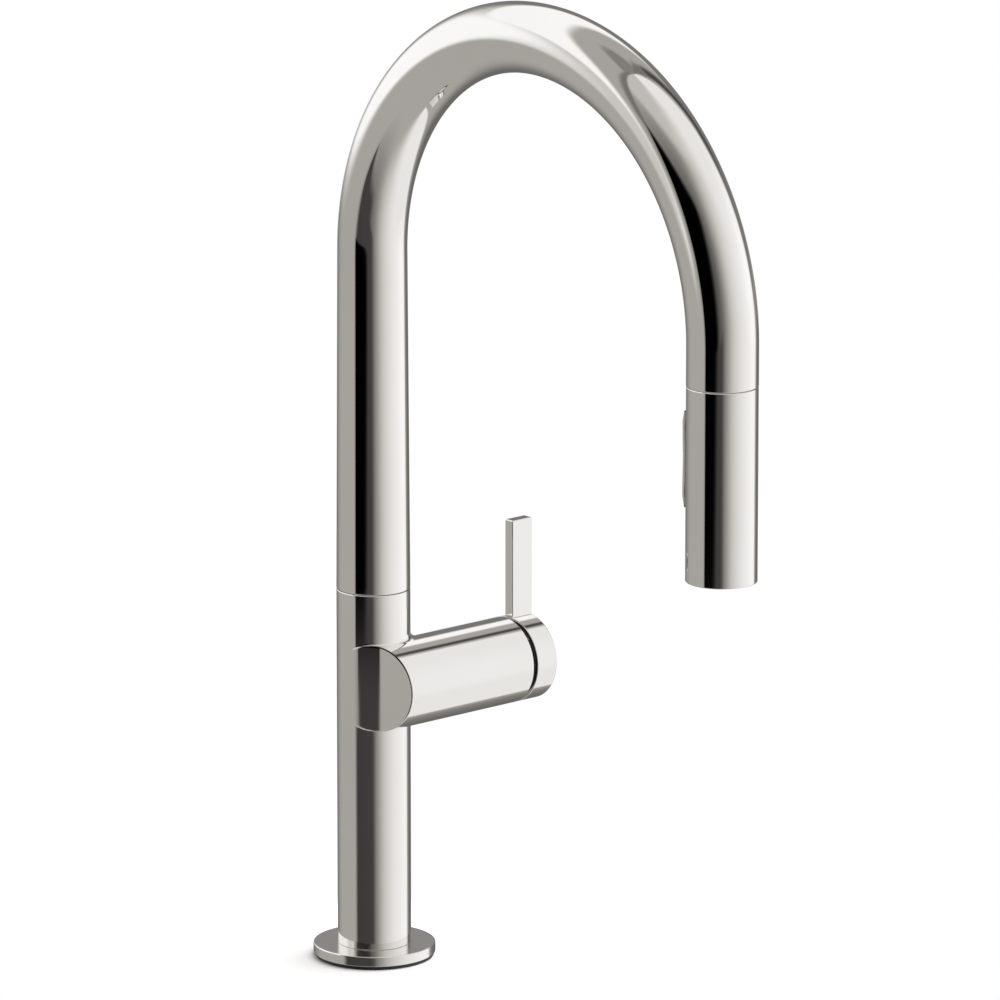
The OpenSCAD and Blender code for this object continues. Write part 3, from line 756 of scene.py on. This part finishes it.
def hose_tail_mesh():
    """The hose that the head draws out of the spout, made of many rings along its length."""
    low, high = box("hose_tail")
    r, bore = (high[0] - low[0]) / 2, 2.8 * MM
    stations = np.linspace(low[2], high[2], 240)
    section = [(r, z) for z in stations] + [(bore, z) for z in stations[::-1]]
    normals = [(1, 0)] * len(stations) + [(-1, 0)] * len(stations)
    return turned(section, normals, 0, -reach, 48)


tail = add_piece("hose_tail_skin", *hose_tail_mesh(), hose_braid("tail_braid", -reach), None, None)
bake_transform(tail)
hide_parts("hose_tail")

# ---- Lever ----

barrel_axis = straight((0, barrel_y, barrel_z), X)


def cap_mesh():
    centre_r, hollow_r = 0.05 * MM, 16.9 * MM
    hollow = cap_low[0] + 4.5 * MM
    outline = rounded([(barrel_r, cap_low[0]), (barrel_r, cap_high[0]), (centre_r, cap_high[0]),
                       (centre_r, hollow), (hollow_r, hollow), (hollow_r, cap_low[0])],
                      [0.3 * MM, 0.6 * MM, 0.01 * MM, 0.01 * MM, 0.5 * MM, 0.3 * MM], 5)
    return revolve(*outline, barrel_axis, side=Y)


add_piece("handle_cap_skin", *cap_mesh(), nickel, "lever", "nickel", ["handle_cap"])


def blade_mesh():
    half = (blade_high[1] - blade_low[1]) / 2
    corner = 0.45 * MM
    lower = barrel_z + barrel_r - 2 * MM
    near, far = blade_low[0], blade_high[0]
    outline = rounded([(far, -half), (far, half), (near, half), (near, -half)], corner, 4)

    def foot(base):
        sunk = base.copy()
        sunk[:, 2] = barrel_z + np.sqrt(barrel_r ** 2 - (base[:, 1] - barrel_y) ** 2) - 0.15 * MM
        return sunk

    return prism(*outline, np.array([0, barrel_y, lower]), X, Y, Z, blade_high[2] - lower, 0.5 * MM, foot=foot)


add_piece("lever_blade_skin", *blade_mesh(), nickel, "lever", "nickel", ["lever_blade"])

# ---- Studio ----

LOOK = math.radians(-42.8)


def camera():
    data = bpy.data.cameras.new("camera")
    data.lens = 344.1
    data.sensor_width = 36
    data.clip_end = 100
    azimuth, pitch = math.radians(-42.0), math.radians(13.63)
    back = Vector((math.sin(azimuth) * math.cos(pitch), -math.cos(azimuth) * math.cos(pitch), math.sin(pitch)))
    item = bpy.data.objects.new("camera", data)
    item.location = (-2.6407, -3.0146, 1.1753)
    item.rotation_mode = "QUATERNION"
    item.rotation_quaternion = (-back).to_track_quat("-Z", "Y")
    bpy.context.scene.collection.objects.link(item)
    bpy.context.scene.camera = item


camera()

# The only pieces that show in the metal's reflections. The rest would cloud it with pictures of themselves.
MIRRORED = ("base_flange_ring", "deck_gasket_ring", "body_column_skin", "gap_collar")
for item in bpy.data.objects:
    if item.type == "MESH" and item.name not in MIRRORED:
        item.visible_glossy = False

# What the metal reflects. Azimuth is measured from the camera's side, positive to the right, and height above
# the horizon, both in degrees. A panel has two sides, a lower and an upper edge, the softness of the four, its
# brightness from 0 to 1, and a slope if its edges rise to the right. An oval has its centre, half sizes,
# softness and brightness. Each covers what stands before it in the list.
SURROUNDINGS = [
    ("oval", "shade round the flag", (-20, 2), (36, 38), 0.8, 0.30),
    ("panel", "front ceiling", (-56, 60), (52, 90), (3, 60, 6, 0), 0.73),
    ("panel", "right wall", (34, 130), (-90, 90), (46, 4, 0, 0), 0.90),
    ("panel", "right wall lamp", (92, 124), (-18, 24), (26, 12, 10, 20), 0.985),
    ("panel", "back room", (132, 300), (-90, 90), (5, 4, 0, 0), 0.63),
    ("panel", "back ceiling", (150, 302), (75, 90), (8, 4, 3, 0), 0.49),
    ("oval", "arched window", (-138, 10), (72, 52), 0.06, 0.965),
    ("oval", "window sill", (-140, 6), (74, 25), 0.08, 0.77),
    ("panel", "back wall", (130, 200), (-8, 27), (6, 14, 5, 4), 0.45),
    ("oval", "left lamp", (-121, 10), (33, 22), 0.25, 0.975),
    ("panel", "floor behind", (130, 300), (-90, -7), (6, 6, 0, 4), 0.63),
    ("panel", "dim floor behind", (136, 215), (-52, -8), (12, 30, 16, 4), 0.40),
    ("oval", "glint behind", (-178, -8), (18, 6), 0.5, 0.80),
    ("panel", "dark door", (136, 146), (12, 64), (3, 4, 6, 10), 0.28),
    ("panel", "dark door top", (132, 150), (62, 90), (4, 6, 6, 0), 0.44),
    ("panel", "dark post", (-61, -54), (26, 90), (3, 2, 2, 0), 0.44),
    ("panel", "black flag", (-56, -14), (-14.7, 27), (1.4, 8, 0.2, 4), 0.03),
    ("panel", "lower flag", (-53.5, -14), (-32, -14.45), (4, 8, 4, 0.3), 0.24),
    ("panel", "foot of the flag", (-55, 1), (-27, -15), (1.4, 8, 1.5, 3), 0.25, 0.27),
]
SURROUNDINGS_BASE = 0.63
REFLECTED_STRENGTH = 1.12


def studio_world():
    """Soft studio surroundings for reflections and light. The camera sees plain white behind the object."""
    made = bpy.data.worlds.new("studio")
    bpy.context.scene.world = made
    made.use_nodes = True
    tree = made.node_tree
    tree.nodes.clear()
    new, link = tree.nodes.new, tree.links.new

    def put(socket, value):
        if isinstance(value, bpy.types.NodeSocket):
            link(value, socket)
        else:
            socket.default_value = value

    def math_node(operation, *values):
        node = new("ShaderNodeMath")
        node.operation = operation
        for socket, value in zip(node.inputs, values):
            put(socket, value)
        return node.outputs[0]

    def step(value, edge, soft, rising=True):
        node = new("ShaderNodeMapRange")
        node.interpolation_type = "SMOOTHSTEP"
        ends = (0.0, 1.0) if rising else (1.0, 0.0)
        for i, v in enumerate((value, edge - soft, edge + soft) + ends):
            put(node.inputs[i], v)
        return node.outputs[0]

    def blend_values(share, a, b):
        node = new("ShaderNodeMix")
        node.data_type = "FLOAT"
        for i, v in ((0, share), (2, a), (3, b)):
            put(node.inputs[i], v)
        return node.outputs[0]

    heading = new("ShaderNodeMapping")
    heading.inputs["Rotation"].default_value = (0, 0, -LOOK)
    link(new("ShaderNodeTexCoord").outputs["Generated"], heading.inputs["Vector"])
    parts = new("ShaderNodeSeparateXYZ")
    link(heading.outputs[0], parts.inputs[0])
    towards = math_node("MULTIPLY", parts.outputs[1], -1.0)
    azimuth = math_node("MULTIPLY", math_node("ARCTAN2", parts.outputs[0], towards), math.degrees(1))
    height = math_node("MULTIPLY", math_node("ARCSINE", parts.outputs[2]), math.degrees(1))

    value = SURROUNDINGS_BASE
    for kind, _, first, second, soft, brightness, *tilt in SURROUNDINGS:
        if kind == "oval":
            across = math_node("WRAP", math_node("SUBTRACT", azimuth, first[0]), 180.0, -180.0)
            across = math_node("DIVIDE", across, second[0])
            up = math_node("DIVIDE", math_node("SUBTRACT", height, first[1]), second[1])
            from_centre = math_node("SQRT", math_node("ADD", math_node("MULTIPLY", across, across),
                                                      math_node("MULTIPLY", up, up)))
            mask = step(from_centre, 1, soft, rising=False)
        else:
            middle = sum(first) / 2
            across = math_node("WRAP", azimuth, middle + 180.0, middle - 180.0)
            up = height
            if tilt:
                rise = math_node("MULTIPLY", math_node("SUBTRACT", across, middle), tilt[0])
                up = math_node("SUBTRACT", height, rise)
            mask = math_node("MULTIPLY", step(across, first[0], soft[0]),
                             step(across, first[1], soft[1], rising=False))
            if second[0] > -90:
                mask = math_node("MULTIPLY", mask, step(up, second[0], soft[2]))
            if second[1] < 90:
                mask = math_node("MULTIPLY", mask, step(up, second[1], soft[3], rising=False))
        value = blend_values(mask, value, brightness)

    light = math_node("POWER", value, 2.2)
    warmth = step(value, 0.8, 0.18)
    tint = new("ShaderNodeMix")
    tint.data_type = "RGBA"
    link(warmth, tint.inputs[0])
    tint.inputs[6].default_value = (1.03, 1.0, 0.95, 1)
    tint.inputs[7].default_value = (1, 1, 1, 1)
    reflected = new("ShaderNodeBackground")
    link(tint.outputs[2], reflected.inputs["Color"])
    link(math_node("MULTIPLY", light, REFLECTED_STRENGTH), reflected.inputs["Strength"])
    seen = new("ShaderNodeBackground")
    seen.inputs["Color"].default_value = (1, 1, 1, 1)
    seen.inputs["Strength"].default_value = 1.0
    both = new("ShaderNodeMixShader")
    link(new("ShaderNodeLightPath").outputs["Is Camera Ray"], both.inputs[0])
    link(reflected.outputs[0], both.inputs[1])
    link(seen.outputs[0], both.inputs[2])
    link(both.outputs[0], new("ShaderNodeOutputWorld").inputs["Surface"])


studio_world()


def deck_floor():
    """A pale round floor under the base ring. It fades out, and parts below it show from the side and below."""
    fade_from, fade_to = 62 * MM, 95 * MM
    rings, around = 12, 96
    a = np.arange(around) * 2 * math.pi / around
    radii = np.linspace(15 * MM, fade_to, rings)
    points = np.concatenate([np.stack([r * np.cos(a), r * np.sin(a), 0 * a], -1) for r in radii])
    m = Nodes("pale_floor")
    m.set(Base_Color=rgb(0.86, 0.86, 0.86), Roughness=0.9, Specular_IOR_Level=0.0)
    length = m.tree.nodes.new("ShaderNodeVectorMath")
    length.operation = "LENGTH"
    m.link(m.place, length.inputs[0])
    edge = m.ramp(length.outputs["Value"], fade_from, fade_to, 1.0, 0.0)
    below = m.tree.nodes.new("ShaderNodeNewGeometry").outputs["Backfacing"]
    m.set(Alpha=m.math("MULTIPLY", edge, m.math("SUBTRACT", 1.0, below)))
    floor = add_piece("floor", points, grid_faces(rings, around, close_rows=False),
                      np.repeat(Z[None], len(points), 0), m.material, None, None)
    floor.visible_glossy = False
    return floor


deck_floor()


def overhead_light():
    """A soft light for the floor and the matt parts. Mirror-like metal doesn't show it."""
    data = bpy.data.lights.new("overhead", "AREA")
    data.shape = "DISK"
    data.size = 1.1
    data.energy = 20
    item = bpy.data.objects.new("overhead", data)
    item.location = (0.43, -0.13, 1.0)
    item.rotation_mode = "QUATERNION"
    item.rotation_quaternion = Vector(item.location).to_track_quat("Z", "Y")
    item.visible_glossy = False
    bpy.context.scene.collection.objects.link(item)


overhead_light()
bpy.context.scene.view_settings.view_transform = "Standard"
